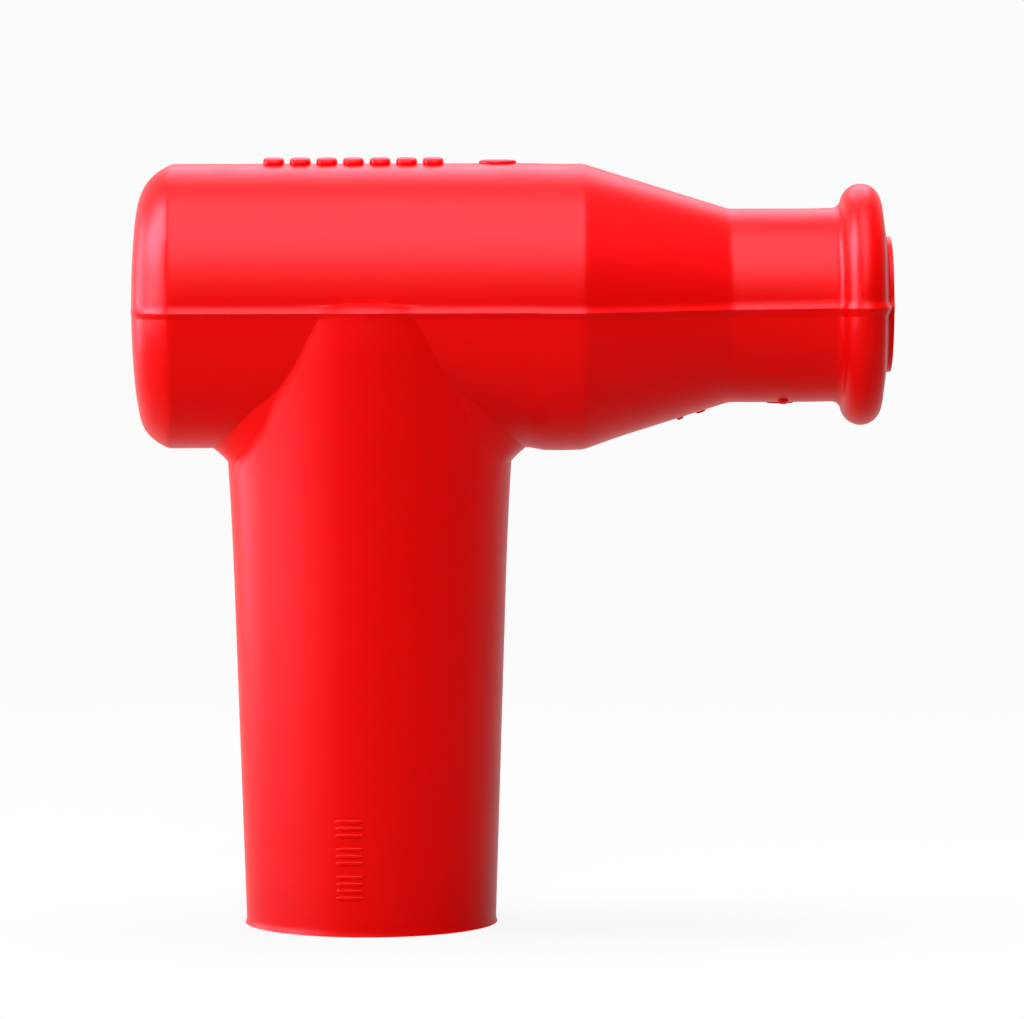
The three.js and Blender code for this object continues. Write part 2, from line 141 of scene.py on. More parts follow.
# %% Shader helpers
class Wire:
    """One output socket of a node tree, with arithmetic that adds Math nodes."""

    def __init__(self, tree, socket):
        self.tree, self.socket = tree, socket

    def math(self, operation, *values):
        """A Math node on values, which may be numbers or wires."""
        return self.tree.node("ShaderNodeMath", {"operation": operation}, dict(enumerate(values)))

    def __add__(self, other): return self.math("ADD", self, other)
    def __radd__(self, other): return self.math("ADD", other, self)
    def __sub__(self, other): return self.math("SUBTRACT", self, other)
    def __rsub__(self, other): return self.math("SUBTRACT", other, self)
    def __mul__(self, other): return self.math("MULTIPLY", self, other)
    def __rmul__(self, other): return self.math("MULTIPLY", other, self)

    def maximum(self, other):
        """The larger of the two, so for masks of 0 and 1 it means or."""
        return self.math("MAXIMUM", self, other)


class Tree:
    """A node tree, to which nodes are added by their type, settings and sockets."""

    def __init__(self, tree):
        self.tree = tree

    def node(self, kind, settings, sockets, output=0):
        """Add a node, apply its settings, then fill its sockets with values or wires."""
        node = self.tree.nodes.new(kind)
        for setting, value in settings.items():
            setattr(node, setting, value)
        for socket, value in sockets.items():
            self.feed(node.inputs[socket], value)
        return Wire(self, node.outputs[output])

    def feed(self, socket, value):
        """Link a wire to the socket, or set the socket to a number or colour."""
        if isinstance(value, Wire):
            self.tree.links.new(value.socket, socket)
        else:
            socket.default_value = value


class Finish(Tree):
    """A material with one Principled shader, whose constants are set on its own sockets."""

    def __init__(self, name, **constants):
        self.material = bpy.data.materials.new(name)
        self.material.use_nodes = True
        super().__init__(self.material.node_tree)
        self.shader = self.tree.nodes["Principled BSDF"]
        for socket, value in constants.items():
            self.shader.inputs[socket.replace("_", " ")].default_value = value

    def place(self):
        """The point on the piece, in metres."""
        return self.node("ShaderNodeTexCoord", {}, {}, "Object")

    def noise(self, place, size, detail=3.0, roughness=0.5):
        """Noise from 0 to 1 whose blobs are about size millimetres across."""
        return self.node("ShaderNodeTexNoise", {}, {
            "Vector": place, "Scale": 1.0 / (size * MM), "Detail": detail, "Roughness": roughness})

    def ramp(self, value, low, high):
        """0 where value is below low, 1 above high, and a straight line between."""
        return self.node("ShaderNodeMapRange", {}, {"Value": value, "From Min": low, "From Max": high})

    def blend(self, factor, low, high):
        """A colour that goes from low to high as factor goes from 0 to 1."""
        return self.node("ShaderNodeMix", {"data_type": "RGBA"}, {0: factor, 6: low, 7: high}, 2)

    def relief(self, height, depth, strength):
        """Bump the surface by strength times height, where 1 means depth millimetres."""
        sockets = {"Height": height, "Distance": depth * MM, "Strength": strength}
        self.feed(self.shader.inputs["Normal"], self.node("ShaderNodeBump", {}, sockets))

    def paint(self, **sockets):
        """Feed the shader's sockets with wires."""
        for socket, value in sockets.items():
            self.feed(self.shader.inputs[socket.replace("_", " ")], value)


# %% [markdown]
# ## Camera
# The photograph looks almost square on at the cap from about half a metre, a little from above.
# A long lens keeps the barrel and leg nearly parallel, and the small drop of the sight shows the
# parting ledge from above. The camera comes early because the rest is judged through it.

# %% Camera
bpy.context.scene.view_settings.view_transform = "Standard"
ROLL = 0.15  # degrees that the photograph is turned anticlockwise
eye = np.array([8.0, -495.0, 66.0])
aim = np.array([11.46, 0.0, 33.1])
view_width = 82.0  # millimetres across the picture at the leg's axis

camera = bpy.data.objects.new("camera", bpy.data.cameras.new("camera"))
bpy.context.scene.collection.objects.link(camera)
sight = aim - eye
heading = math.atan2(sight[0], sight[1])
rise = math.atan2(sight[2], math.hypot(sight[0], sight[1]))
camera.location = eye * MM
camera.rotation_euler = (math.radians(90) + rise, math.radians(ROLL), -heading)
camera.data.lens = camera.data.sensor_width * np.linalg.norm(sight) / view_width
camera.data.clip_start = 0.01
bpy.context.scene.camera = camera
print("camera:", round(float(np.linalg.norm(sight))), "mm away, lens", round(camera.data.lens, 1))

# %% [markdown]
# ## Silicone
# Moulded silicone rubber is a saturated red with a satin skin. Its colour hardly varies, but the
# mould's fine blasted texture breaks up the reflections, and handling leaves cloudy patches that
# are slightly glossier or duller. So the colour gets only a faint mottle, and most of the life
# comes from roughness and a very shallow bump. The specular level is low, because a stronger one
# lays the pale floor over the red, which the real skin hardly shows.

# %% Silicone finish
silicone = Finish(
    "silicone",
    Specular_IOR_Level=0.06,
    Sheen_Weight=0.02,
    Sheen_Roughness=0.2,
    Sheen_Tint=(1.0, 0.8, 0.95, 1.0),
)
spot = silicone.place()
cloud = silicone.noise(spot, 14.0, detail=2.0)
grain = silicone.noise(spot, 0.35, detail=2.0)
smear = silicone.noise(spot, 3.5, detail=3.0)
silicone.paint(
    Base_Color=silicone.blend(cloud, (0.79, 0.0006, 0.0002, 1), (0.85, 0.001, 0.0004, 1)),
    Roughness=0.28 + 0.1 * smear + 0.04 * grain,
)
silicone.relief(0.75 * grain + 0.25 * smear, 0.012, 0.6)

# %% [markdown]
# ## Boot: the two bodies of revolution
# The leg is a draft that opens into a flare and eases again under the barrel. The barrel is a
# turned profile: a squarish closed end with a crease and a shallow dome, a cylinder, a taper, a
# neck, a pull bead and a thin lip. The leg's radius is a function of height and the barrel's a
# list of rows along X, so every other surface can take its radius from them. The soft neck
# hangs a hair's breadth, and the underside is a little fuller beside the leg and at the closed
# end's corner: small shifts added later.

# %% Boot sizes
AXIS = 49.45                                         # height of the barrel's axis, where the mould parts
BARREL, NECK = 11.35, 7.73                           # radii
BACK, FRONT, NECK_START = -18.92, 17.1, 28.7         # along X: the closed end and the taper's two ends
END_LENGTH = 3.25                                    # the closed end's corner along X
DOME, DOME_RADIUS = 0.36, 6.96                       # the closed end's dome
BEAD_PLACE, BEAD_RADIUS = 39.24, 9.64                # the pull bead
CREST, ROOT = 1.6, 0.8                               # the bead's roundings at its top and into the neck
LIP_START, MOUTH_END, LIP = 41.25, 41.64, 5.42       # the lip's foot, its end and its radius
RIM_EASE, FOOT_EASE = 0.09, 0.12                     # roundings of the lip's rim and foot
BALL, LAST_BALL = 1.15, 0.1                          # the web's ball at the crotch and where it ends
WEB_END, WEB_FADE = 58.0, 14.0                       # degrees up the side: the web's end, its run-out
WEB_FLATNESS = 0.88                                  # 0 a round fillet, 1 a flat chamfer
SLIP = 0.8                                           # the web's lower edge lies this much down the leg
RIDGE, END_RIDGE = 0.26, 0.03                        # how far the ridge stands out, and on the end's face
RIDGE_TOP, RIDGE_FOOT, RIDGE_END = 0.42, 0.68, 0.36  # its half heights over, under and at the end
LEDGE, RIDGE_RISE = 0.16, 0.22                       # its extra height across the leg and at the mouth
DROOP, BELLY, CORNER = 0.06, 0.016, 0.37             # the neck's hang and the two fuller places below
BESIDE_LEG = 12.6                                    # place along X just past the web
SOCKET, SOCKET_DEPTH, CABLE = 5.15, 29.25, 3.4       # bores for the plug and for the cable
SEAT, SEAT_TOP, ELBOW = 5.7, 41.75, 6.3              # hollow for the insulator: stem, its top, and elbow
LEG, DRAFT = 10.0, 0.032                             # the leg's radius at its mouth, and its draft
FLARE_START, FLARE = 27.2, 640.0                     # the flare: where it starts, and its divisor
TOP_START, TOP = 45.6, 29.0                          # the rounding near the top, the same


def leg_radius(z):
    """A straight draft, plus a flare and less a rounding near the top, both squares of height."""
    flare = np.maximum(0.0, z - FLARE_START) ** 2 / FLARE
    return LEG + DRAFT * z + flare - np.maximum(0.0, z - TOP_START) ** 2 / TOP


def leg_slope(z):
    """Gain in leg radius for each millimetre up: the derivative of leg_radius."""
    flare, top = np.maximum(0.0, z - FLARE_START), np.maximum(0.0, z - TOP_START)
    return DRAFT + 2 * flare / FLARE - 2 * top / TOP


def rounded(before, corner, after, steps):
    """A quadratic curve (1-t)^2 a + 2t(1-t) b + t^2 c, which rounds a corner of a profile."""
    t = np.linspace(0.0, 1.0, steps)[:, None]
    before, corner, after = np.array([before, corner, after], float)
    return (1 - t) ** 2 * before + 2 * t * (1 - t) * corner + t**2 * after


def barrel_nose():
    """The profile from the cable mouth back to the cylinder, as rows of (x, radius). The bead is
    two arcs that touch each other: its crest, and the root that leads into the neck."""
    crest_r, root_r = BEAD_RADIUS - CREST, NECK + ROOT
    root_x = BEAD_PLACE - math.sqrt((CREST + ROOT) ** 2 - (crest_r - root_r) ** 2)
    meet = math.atan2(BEAD_PLACE - root_x, crest_r - root_r)
    foot = np.array([LIP_START - BEAD_PLACE, LIP - crest_r])  # the face's foot, from the crest's centre
    touch = math.atan2(*foot) - math.acos(CREST / np.hypot(*foot))
    crest = np.linspace(touch, meet - math.pi, 24)
    crest = np.stack([BEAD_PLACE + CREST * np.sin(crest), crest_r + CREST * np.cos(crest)], 1)
    root = np.linspace(meet, math.pi, 9)[1:]
    root = np.stack([root_x + ROOT * np.sin(root), root_r + ROOT * np.cos(root)], 1)
    rim = rounded([MOUTH_END, LIP - RIM_EASE], [MOUTH_END, LIP], [MOUTH_END - RIM_EASE, LIP], 4)
    slope = (LIP_START - BEAD_PLACE - CREST * math.sin(touch)) / (crest[0, 1] - LIP)
    turn_in = rounded(
        [LIP_START + 0.1, LIP], [LIP_START, LIP], [LIP_START - FOOT_EASE * slope, LIP + FOOT_EASE], 4)
    face = np.linspace(turn_in[-1], crest[0], 7)[1:-1]
    lip = np.concatenate([rim, turn_in])
    neck = np.linspace(root[-1], [NECK_START + 0.3, NECK], 22)[1:-1]
    grade = (BARREL - NECK) / (NECK_START - FRONT)
    waist = rounded(
        [NECK_START + 0.3, NECK], [NECK_START, NECK], [NECK_START - 0.3, NECK + 0.3 * grade], 5)
    shoulder = rounded([FRONT + 0.25, BARREL - 0.25 * grade], [FRONT, BARREL], [FRONT - 0.25, BARREL], 5)
    taper = np.linspace(waist[-1], shoulder[0], 22)[1:-1]
    return np.concatenate([lip, face, crest, root, neck, waist, taper, shoulder])


def barrel_end(steps):
    """The closed end: a small crease, a cubic curve (1-t)^3 a + 3t(1-t)^2 b + 3t^2(1-t) c + t^3 d
    round the corner, and a dome whose depth grows with the square of the radius. The rows stand
    closer together at the crease."""
    crease = 14  # the row of the cubic curve where the crease's own rounding ends
    t = np.linspace(0.0, 1.0, 200)[:, None]
    start, one, two, foot = np.array(
        [[END_LENGTH, BARREL], [1.165, BARREL - 0.972], [0.595, 9.249], [DOME, DOME_RADIUS]])
    corner = (1 - t) ** 3 * start + 3 * t * (1 - t) ** 2 * one + 3 * t**2 * (1 - t) * two + t**3 * foot
    ease = rounded(start + [0.15, 0.0], start, corner[crease], 12)
    r = np.linspace(DOME_RADIUS, 0.0, 200)
    dome = np.stack([DOME * (r / DOME_RADIUS) ** 2, r], 1)[1:]
    x, r = (np.concatenate([ease, corner[crease + 1:], dome]) + [BACK, 0.0]).T
    run = np.concatenate([[0], np.cumsum(np.hypot(np.diff(x), np.diff(r)))])
    last = np.interp(-RIDGE_END, -r, run)
    even = last * np.linspace(0, 1, steps) ** 1.25
    return np.stack([np.interp(even, run, x), np.interp(even, run, r)], 1)


nose, end = barrel_nose(), barrel_end(34)
print("profile rows: nose", len(nose), "closed end", len(end))

# %% [markdown]
# ## Boot: the crotch fillets
# A ball rolled along the corner between leg and barrel touches both at once. Its centre is a
# ball's radius outside each surface, and the web that fills the corner runs between its two
# touching points. The mould's corner was cut nearly flat, so the web is much closer to the
# straight line than to the ball's arc, and its edges are crisp. It narrows to nothing up the
# sides, so the ball shrinks as it climbs, and its lower edge slips a little down the leg.
# Working it out this way puts both edges exactly on leg and barrel, where a bevel on a joined
# mesh would leave slivers that show in the shine.

# %% Fillet points
TURNS, ARC, LENS = 96, 10, 32
side_turn = np.arccos(RIDGE_FOOT / BARREL)  # the barrel's turn, from straight down to the ridge
turn = np.linspace(-side_turn, side_turn, TURNS + 1)
up_side = np.degrees(np.abs(turn))
still_there = smooth_step((WEB_END - up_side) / WEB_FADE)
ball = LAST_BALL + (BALL - LAST_BALL) * still_there
ball_y = (BARREL + ball) * np.sin(turn)
ball_z = AXIS - (BARREL + ball) * np.cos(turn)
lean = leg_slope(ball_z)
out = 1 / np.sqrt(1 + lean**2)
touch_z = ball_z + ball * lean * out
ball_r = leg_radius(touch_z) + ball * out
ball_x = np.sqrt(ball_r**2 - ball_y**2)
ball_turn = np.arctan2(ball_y, ball_x)
slipped = smooth_step((up_side - 5.0) / 20.0) * still_there  # none at the crotch's middle
web_z = touch_z - SLIP * slipped  # the web's edge on the leg


def fillet(side):
    """Rows along the turn, columns from the barrel's touching line to the leg's: an arc about the
    ball's centre, drawn towards the straight line, with its last point moved on to the slipped edge."""
    to_barrel = xyz(0, -np.sin(turn), np.cos(turn))
    to_leg = -xyz(np.cos(ball_turn) * out, np.sin(ball_turn) * out, -lean * out)
    angle = np.arccos(np.clip((to_barrel * to_leg).sum(-1), -1, 1))[:, None, None]
    share = np.linspace(0, 1, ARC + 1)[None, :, None]
    ray = np.sin((1 - share) * angle) * to_barrel[:, None] + np.sin(share * angle) * to_leg[:, None]
    points = xyz(ball_x, ball_y, ball_z)[:, None] + ball[:, None, None] * ray / np.sin(angle)
    straight = points[:, :1] + (points[:, -1:] - points[:, :1]) * share
    points += WEB_FLATNESS * (straight - points)
    edge = xyz(leg_radius(web_z) * np.cos(ball_turn), leg_radius(web_z) * np.sin(ball_turn), web_z)
    points += (edge - points[:, -1])[:, None] * share
    points[..., 0] *= side
    return points


right_fillet, left_fillet = fillet(1), fillet(-1)
print("web: ball centres from x", ball_x.min().round(2), "to", ball_x.max().round(2))

# %% [markdown]
# ## Boot: stations along the parting line
# The mould parts through the barrel's axis. Everything that meets there, the upper shell, the
# ridge and the lower pieces, shares one list of stations, from the cable mouth round to the
# closed end. Between the fillets the line leaves the barrel and follows the wider leg.

# %% Stations
flat_right = np.linspace(nose[-1], [ball_x[0], BARREL], 42)[1:]
lens_turn = np.linspace(-ball_turn[-1], -(math.pi - ball_turn[-1]), LENS + 1)
lens_x = leg_radius(touch_z[-1]) * np.cos(lens_turn)
arc_x = right_fillet[0, :, 0]
middle_x = np.concatenate([arc_x[1:], lens_x[1:-1], -arc_x[::-1][:-1]])
middle = np.stack([middle_x, np.full_like(middle_x, BARREL)], 1)
flat_left = np.linspace([-ball_x[0], BARREL], end[0], 34)[:-1]
stations = np.concatenate([nose, flat_right, middle, flat_left, end])
print("stations:", len(stations))

# %% Upper and lower shells
section = np.array([  # the ridge's rim: distance from its proud edge, height above the parting plane
    [-0.252, 0.32], [-0.222, 0.2], [-0.165, 0.06], [-0.085, -0.08], [-0.02, -0.18], [0.0, -0.225],
    [-0.015, -0.27], [-0.08, -0.38], [-0.17, -0.53]])
# This count lets the two ends of the boot's hollow meet column for column.
UPPER = TURNS + 2 * LENS - 2 * (len(section) + 1)


def ridge_rise(x):
    """How much higher the ridge lies along the taper and the neck: a smooth step."""
    return RIDGE_RISE * smooth_step((x - BESIDE_LEG) / 26.0)


def ridge_half(x, radius, down):
    """Half height of the ridge: it narrows to RIDGE_END where the closed end runs to a point."""
    ledge = RIDGE_TOP + LEDGE * smooth_step((3.6 - np.abs(x)) / 2.5)
    here = RIDGE_FOOT if down else ledge + ridge_rise(x)
    return RIDGE_END + (here - RIDGE_END) * np.where(x > 0, 1.0, smooth_step((radius - 1.0) / 4.0))


def shell(x, radius, count, down):
    """Part of a turned surface, from ridge to ridge: x and radius give rows, angles columns."""
    span = np.arccos(np.clip(ridge_half(x[:, 0], radius, down) / radius, -1, 1))
    angle = span[:, None] * np.linspace(-1, 1, count + 1)[None]
    height = -np.cos(angle) if down else np.cos(angle)
    return xyz(x, radius[:, None] * np.sin(angle), AXIS + radius[:, None] * height)


def droop(x):
    """How far the neck hangs: two smooth steps, from the right fillet to the pull bead."""
    return DROOP * smooth_step((x - BESIDE_LEG) / 2.5) * smooth_step((39.0 - x) / 5.0)


def belly(points):
    """Lower shell with its underside fuller beside the leg, by the square of how far down, and
    with the closed end's lower corner pushed back. Both fade along X by smooth steps."""
    x, y, down = points[..., 0], points[..., 1], AXIS - points[..., 2]
    fuller = smooth_step((x - BESIDE_LEG) / 1.5) * smooth_step((21.0 - x) / 6.0)
    gain = 1 + BELLY * fuller * down**2 / (down**2 + y**2)
    corner = smooth_step((-14.5 - x) / 1.2) * smooth_step((down - 7.5) / 3.9)  # the end's lower rim
    return xyz(x - CORNER * corner, y * gain, AXIS - down * gain - droop(x))


def lower(rows, hole_x):
    """The lower shell beside a fillet: the flat run's x slides from the hole's edge outwards."""
    points = shell(rows[:, :1], rows[:, 1], TURNS, True)
    edge = rows[:, 0]
    near, far = (edge[-1], edge[0]) if hole_x[0] > 0 else (edge[0], edge[-1])
    share = ((edge - far) / (near - far))[:, None]
    flat = np.abs(rows[:, 1] - BARREL) < 1e-9
    slid = far + (hole_x[None] - far) * share
    points[flat, :, 0] = slid[flat]
    return belly(points)


upper = shell(stations[:, :1], stations[:, 1], UPPER, False)
upper[..., 2] -= droop(upper[..., 0])
right_rows = lower(flat_right, ball_x)
nose_rows = belly(shell(nose[:, :1], nose[:, 1], TURNS, True))
left_rows = lower(np.concatenate([flat_left, end[:1]]), -ball_x)
end_rows = belly(shell(end[:, :1], end[:, 1], TURNS, True))
right_shell = np.concatenate([nose_rows, right_rows])
left_shell = np.concatenate([left_rows[:-1], end_rows])

# %% [markdown]
# ## Boot: the parting ridge
# Where the two halves of the mould meet they leave a narrow raised line. Its section leans out
# from the upper half and turns in sharply under it, which gives a light band over a dark line.
# It is carried along the plan outline of barrel and leg. Round the leg the outline stands wider
# than the barrel, so the ledge's top grows into a lens. Towards the cable mouth the line rises a
# little, and on the closed end's face it sinks almost into the dome.

# %% Ridge band
def plan_outline(x, radius):
    """Half width in plan: the barrel's, blended into the leg's circle where that is wider. The
    blend is (e + sqrt(e^2 + 0.12^2)) / 2, where e is how much wider the leg's circle is."""
    leg = leg_radius(AXIS)
    extra = np.sqrt(np.maximum(leg**2 - x**2, 0.0)) - BARREL
    lens = np.minimum(0.5 * (extra + np.sqrt(extra**2 + 0.12**2)), leg - BARREL)
    return radius + np.where(np.abs(x) < 9.0, lens * smooth_step((9.0 - np.abs(x)) / 3.0), 0.0)


plan = np.stack([stations[:, 0], plan_outline(stations[:, 0], stations[:, 1])], 1)
plan_full = np.concatenate([plan, (plan * [1, -1])[::-1]])
tangent = unit(np.gradient(plan_full, axis=0))[: len(plan)]
outward = np.stack([tangent[:, 1], -tangent[:, 0]], 1)
outward[0] = (0, 1)  # at the mouth the ridge points straight out, in the plane of the lip
on_face = smooth_step((DOME_RADIUS + 2.5 - plan[:, 1:2]) / 3.0) * (plan[:, :1] < 0)
reach_out = RIDGE + (END_RIDGE - RIDGE) * on_face
proud = plan[:, None] + (outward * reach_out)[:, None] * (1 + section[None, :, :1] / RIDGE)
proud[0, :, 0] = MOUTH_END
proud[..., 0] = np.minimum(proud[..., 0], MOUTH_END)


def ridge(side):
    """The band on one side of the boot, from the upper shell's edge to the lower skin's."""
    pick = 0 if side < 0 else -1
    top = upper[:, pick]
    out_edge = section[5, 1]  # height of the proud edge: under it the section stretches to the foot
    foot = ridge_half(stations[:, 0], stations[:, 1], True) + ridge_rise(stations[:, 0])
    stretch = (foot[:, None] + out_edge) / (RIDGE_FOOT + out_edge)
    under = out_edge + (section[:, 1] - out_edge) * stretch
    height = np.where(section[:, 1] < out_edge, under, section[:, 1])
    lift = ridge_rise(proud[..., 0]) - droop(proud[..., 0])
    rim = xyz(proud[..., 0], side * proud[..., 1], AXIS + height + lift)
    low_lens = xyz(lens_x, side * -leg_radius(touch_z[-1]) * np.sin(lens_turn), touch_z[-1])
    low = np.concatenate([
        right_shell[:, pick], right_fillet[pick, 1:], low_lens[1:-1],
        left_fillet[pick][::-1][:-1], left_shell[:, pick]])
    return np.concatenate([top[:, None], rim, low[:, None]], axis=1)


front_ridge, back_ridge = ridge(-1), ridge(1)
print("ridge: rows and points across", front_ridge.shape[:2])

# %% [markdown]
# ## Boot: leg and hollow
# The leg's columns stand under the fillets' touching points and under the lens, so its top edge
# fits both. A thin flash stands out round its rim, as the mould leaves it. The hollow is one
# tube, carried up the leg, round a mitred elbow and out along the barrel: a lead-in, sealing
# ribs, the seat of the insulator, then the cable bore and its ribs.

# %% Leg
def ring_of(front_value, right, back_value, left):
    """Columns round the leg in order: right fillet, back lens, left fillet, front lens."""
    return np.concatenate([right, back_value[1:], left[::-1][1:], front_value[1:-1]])


back_lens = np.linspace(ball_turn[-1], math.pi - ball_turn[-1], LENS + 1)
leg_turn = ring_of(back_lens + math.pi, ball_turn, back_lens, math.pi - ball_turn)
lens_top = np.full(LENS + 1, web_z[-1])
leg_top = ring_of(lens_top, web_z, lens_top, web_z)
rise_share = np.concatenate([[0, 0.004, 0.009, 0.015], np.linspace(0.03, 1, 46)])
leg_z = leg_top[None] * rise_share[:, None]
flash = 0.12 * np.exp(-((leg_z / 0.22) ** 2))  # a bell curve of height
leg_r = leg_radius(leg_z) + flash
leg = xyz(leg_r * np.cos(leg_turn), leg_r * np.sin(leg_turn), leg_z)
print("leg: rows and columns", leg.shape[:2])

# %% Hollow
def ribs(wall, middles, width, height):
    """Rows of (radius, place) over sealing ribs, which stand h (1 + cos 2 pi w) / 2 in from the
    wall, with w from -1/2 to 1/2 across each."""
    wave = np.linspace(-0.5, 0.5, 9)
    rise = height * 0.5 * (1 + np.cos(2 * math.pi * wave))
    return np.concatenate([np.stack([wall - rise, middle + width * wave], 1) for middle in middles])


lead_in = np.stack([SOCKET + 0.75 - 0.75 * np.sin(np.linspace(0, math.pi / 2, 8)) ** 1.2,
                    1.5 * np.linspace(0, 1, 8) ** 1.5], 1)
socket = np.concatenate([
    lead_in, ribs(SOCKET, (4.2, 7.2, 10.2), 1.3, 0.35),
    [[SOCKET, 20.0], [SOCKET, SOCKET_DEPTH], [SEAT, SOCKET_DEPTH], [SEAT, SEAT_TOP], [ELBOW, SEAT_TOP]]])
bore = np.concatenate([
    [[ELBOW, 15.6], [CABLE, 15.6], [CABLE, 24.0]],
    ribs(CABLE, MOUTH_END - np.array([9.2, 6.6, 4.0]), 1.2, 0.25),
    [[CABLE, 39.65], [3.7, 40.3], [4.2, 41.05], [4.6, 41.45], [4.78, MOUTH_END - 0.04]]])

mouth_loop = np.concatenate([
    right_shell[0], back_ridge[0][::-1][1:], upper[0][::-1][1:], front_ridge[0][1:-1]])
mouth_turn = np.unwrap(np.arctan2(mouth_loop[:, 1], AXIS - mouth_loop[:, 2]))
tube_turn = np.unwrap(leg_turn)
up = xyz(socket[:, :1] * np.cos(tube_turn), socket[:, :1] * np.sin(tube_turn), socket[:, 1:])
mitre = xyz(ELBOW * np.cos(tube_turn), ELBOW * np.sin(tube_turn), AXIS - ELBOW * np.cos(tube_turn))[None]
along = xyz(bore[:, 1:], bore[:, :1] * np.sin(mouth_turn), AXIS - bore[:, :1] * np.cos(mouth_turn))
hollow = np.concatenate([up, mitre, along])
print("leg columns", len(leg_turn), "mouth columns", len(mouth_turn))

# %% Join the boot
skin = Skin()
end_strip = np.stack([front_ridge[-1], back_ridge[-1]])
shells, fillets = (upper, right_shell, left_shell), (right_fillet, left_fillet)
for sheet in (*shells, *fillets, front_ridge, back_ridge, end_strip):
    skin.grid(sheet)
leg_rim, mouth_face = np.stack([leg[0], hollow[0]]), np.stack([hollow[-1], mouth_loop])
for tube in (leg, leg_rim, hollow, mouth_face):
    skin.grid(tube, wrap=True)
boot = skin.build("boot_moulding", silicone.material, sharp=22)
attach(boot, "root")
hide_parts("boot")

# %% [markdown]
# ## Boot: raised marks
# Moulds leave raised marks: a row of plain bars and a low pad on the crown, strokes in three
# groups near the leg's mouth, and small pips underneath. Each is a superellipsoid, which is a
# rounded block, bent on to the surface that it stands on and sunk by half, so no edge of it
# hangs free.

# %% Marks
def block(half_x, half_y, height, edge=0.45, corner=0.5, rows=14, columns=36):
    """A superellipsoid: cosines and sines raised to edge and corner make its roundness."""
    tilt = np.linspace(-math.pi / 2, math.pi / 2, rows)[:, None]
    spin = full_circle(columns)[None]
    around = signed_power(np.cos(tilt), edge)
    return (half_x * around * signed_power(np.cos(spin), corner),
            half_y * around * signed_power(np.sin(spin), corner),
            height * signed_power(np.sin(tilt), edge))


def on_barrel(shape, place, angle=0.0):
    """Bend a block on to the barrel at a place along X and an angle from straight up."""
    x, across, height = shape
    x = place + x
    radius = np.interp(x, stations[::-1, 0], stations[::-1, 1])
    turn = angle + across / radius
    return xyz(x, (radius + height) * np.sin(turn), AXIS + (radius + height) * np.cos(turn) - droop(x))


def on_leg(shape, place, angle):
    """Bend a block on to the leg at a height and an angle from the +X side."""
    across, along, height = shape
    z = place + along
    turn = angle + across / leg_radius(z)
    radius = leg_radius(z) + height
    return xyz(radius * np.cos(turn), radius * np.sin(turn), z)


marks = Skin()
BAR, BAR_STEP, FIRST_BAR = 0.84, 2.12, -8.4  # half length, pitch, and the row's start along X
for number in range(7):
    bar = block(BAR, 1.7, 0.5)
    marks.grid(on_barrel(bar, FIRST_BAR + BAR + BAR_STEP * number), wrap=True)
marks.grid(on_barrel(block(1.5, 1.3, 0.3, corner=0.8), 10.3), wrap=True)
for height, count in ((3.9, 4), (6.4, 3), (8.6, 3)):
    for number in range(count):
        stroke = block(1.1, 0.17, 0.1, edge=0.8, corner=0.6)
        middle = height + 0.55 * (number - (count - 1) / 2)
        marks.grid(on_leg(stroke, middle, math.radians(-98.8)), wrap=True)
pips = (  # place along X, half length, height, degrees from straight up
    (24.85, 0.28, 0.18, 180), (26.5, 0.4, 0.16, 180), (32.8, 1.1, 0.12, 180), (33.0, 0.42, 0.28, 193))
for place, length, tall, angle in pips:
    pip = block(length, 0.5, tall, edge=0.7, corner=0.9)
    marks.grid(on_barrel(pip, place, math.radians(angle)), wrap=True)
raised_marks = marks.build("raised_marks", silicone.material, sharp=80)
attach(raised_marks, "root")

# %% [markdown]
# ## Metal finishes
# Turned brass keeps the fine rings that the lathe's tool leaves round its axis, and it dulls to
# brown in blotches. Drawn spring wire and the plated cups are smoother: only their roughness
# varies. Rings are a sine of the distance along the axis, so they follow the turning and not
# the world.

# %% Metal helper
def metal(name, low, high, dull, axis=None, pitch=0.12):
    """A metal whose colour blends from low to high in blotches, with turned rings along an axis."""
    finish = Finish(name, Metallic=1.0)
    place = finish.place()
    blotch = finish.noise(place, 2.2, detail=4.0, roughness=0.6)
    scuff = finish.noise(place, 0.25, detail=2.0)
    tarnish = finish.ramp(blotch, 0.35, 0.7)
    finish.paint(
        Base_Color=finish.blend(tarnish, low, high),
        Roughness=dull + 0.12 * tarnish + 0.08 * scuff)
    height = 0.5 * scuff
    if axis:
        along = finish.node("ShaderNodeSeparateXYZ", {}, {0: place}, axis)
        phase = along * (2 * math.pi / (pitch * MM))
        height = height + 0.5 * phase.math("SINE", phase)
    finish.relief(height, 0.004, 0.5)
    return finish.material


terminal_brass = metal("turned_brass", (0.62, 0.42, 0.16, 1), (0.38, 0.22, 0.08, 1), 0.24, axis="Z")
screw_brass = metal(
    "screw_brass", (0.66, 0.45, 0.17, 1), (0.42, 0.25, 0.09, 1), 0.22, axis="X", pitch=0.15)
spring_wire = metal("spring_wire", (0.56, 0.57, 0.6, 1), (0.4, 0.39, 0.38, 1), 0.22)
plated_cup = metal("plated_cup", (0.68, 0.69, 0.72, 1), (0.5, 0.5, 0.52, 1), 0.18)

# %% [markdown]
# ## Insulating finishes
# The insulator is pressed from phenolic powder: nearly black, with pale wood-flour specks and a
# faint orange peel from the mould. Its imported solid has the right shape, so it stays and only
# gets this finish. The resistor's rod is fired ceramic, chalky with tiny pores.

